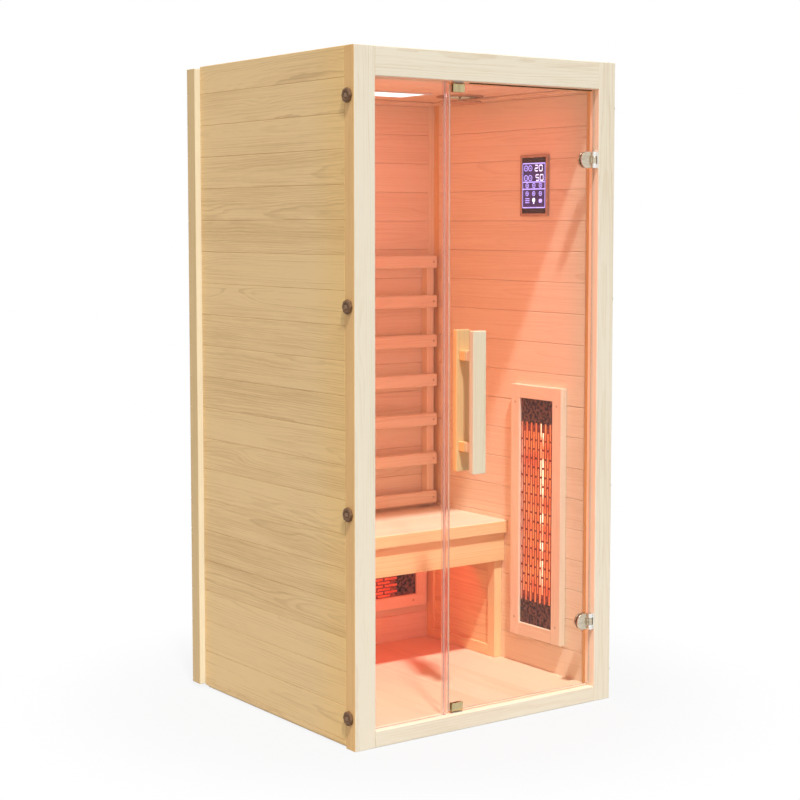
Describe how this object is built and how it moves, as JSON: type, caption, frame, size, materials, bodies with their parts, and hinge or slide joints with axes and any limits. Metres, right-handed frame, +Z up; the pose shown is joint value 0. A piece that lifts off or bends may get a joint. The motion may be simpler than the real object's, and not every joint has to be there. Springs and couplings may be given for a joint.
{
  "type": "infrared sauna cabin",
  "caption": "Wooden infrared sauna cabin with a glass front and a hinged glass door, a bench with a slatted backrest, and infrared heaters on the walls and under the bench.",
  "frame": {"origin": "on the ground, under the middle of the footprint of the front frame, side walls and back wall", "axes": "+Z up, the glass front faces -Y, +X to the right of someone who looks at the front"},
  "size_m": [0.968, 0.8933, 1.9],
  "materials": {
    "frame_pine": "planed pale softwood, clear satin",
    "cladding_pine": "oiled tan softwood boards, strong grain",
    "back_pine": "oiled brown softwood",
    "interior_pine": "planed untreated softwood",
    "clear_glass": "clear tempered glass, polished edges",
    "clear_seal": "milky flexible profile",
    "satin_nickel": "satin",
    "magnet_steel": "plain",
    "cap_brown": "moulded dark brown",
    "grille_black": "heat-proof matt black",
    "reflector_steel": "bright rolled",
    "quartz_tube": "glowing quartz",
    "bezel_brown": "copper brown, satin",
    "display_black": "glossy touch panel",
    "lamp_white": "white",
    "diffuser_white": "opal",
    "box_white": "off-white"
  },
  "bodies": {
    "cabin": {"back_wall_lining": "interior_pine", "back_wall_panel": "back_pine", "backrest": "interior_pine", "bench_apron": "interior_pine", "bench_seat": "interior_pine", "calf_heater_frame": "interior_pine", "calf_heater_grille": "grille_black", "calf_heater_reflector": "reflector_steel", "calf_heater_tube": "quartz_tube", "ceiling_cornice": "interior_pine", "ceiling_panel": "interior_pine", "control_panel_bezel": "bezel_brown", "control_panel_display": "display_black", "fixed_glass": "clear_glass", "fixed_glass_seal": "clear_seal", "floor_panel": "interior_pine", "front_bottom_rail": "frame_pine", "front_left_stile": "frame_pine", "front_right_stile": "frame_pine", "front_top_rail": "frame_pine", "lamp_diffuser": "diffuser_white", "lamp_housing": "lamp_white", "left_bench_support": "interior_pine", "left_bolt_cap_1": "cap_brown", "left_bolt_cap_2": "cap_brown", "left_bolt_cap_3": "cap_brown", "left_bolt_cap_4": "cap_brown", "left_heater_frame": "interior_pine", "left_heater_grille": "grille_black", "left_heater_reflector": "reflector_steel", "left_heater_tube": "quartz_tube", "left_wall_lining": "interior_pine", "left_wall_panel": "cladding_pine", "lower_catch_magnet": "magnet_steel", "lower_hinge_jamb_leaf": "satin_nickel", "power_box": "box_white", "right_bench_support": "interior_pine", "right_bolt_cap_1": "cap_brown", "right_bolt_cap_2": "cap_brown", "right_bolt_cap_3": "cap_brown", "right_bolt_cap_4": "cap_brown", "right_heater_frame": "interior_pine", "right_heater_grille": "grille_black", "right_heater_reflector": "reflector_steel", "right_heater_tube": "quartz_tube", "right_wall_lining": "interior_pine", "right_wall_panel": "cladding_pine", "upper_catch_magnet": "magnet_steel", "upper_hinge_jamb_leaf": "satin_nickel", "vent_ring": "interior_pine"},
    "door": {"door_glass": "clear_glass", "upper_hinge_outer_plate": "satin_nickel", "upper_hinge_inner_plate": "satin_nickel", "lower_hinge_outer_plate": "satin_nickel", "lower_hinge_inner_plate": "satin_nickel", "outer_handle": "frame_pine", "inner_handle": "frame_pine", "upper_door_catch": "satin_nickel", "lower_door_catch": "satin_nickel"},
    "vent": {"vent_disc": "interior_pine"}
  },
  "joints": [
    {"name": "door_hinge", "type": "hinge", "parent": "cabin", "child": "door", "pos_m": [0.3915, -0.426, 0.93], "axis": [0, 0, 1], "range_deg": [0, 110]},
    {"name": "vent_slide", "type": "slide", "parent": "cabin", "child": "vent", "axis": [0, 0, 1], "range_m": [-0.01, 0.0115]}
  ]
}
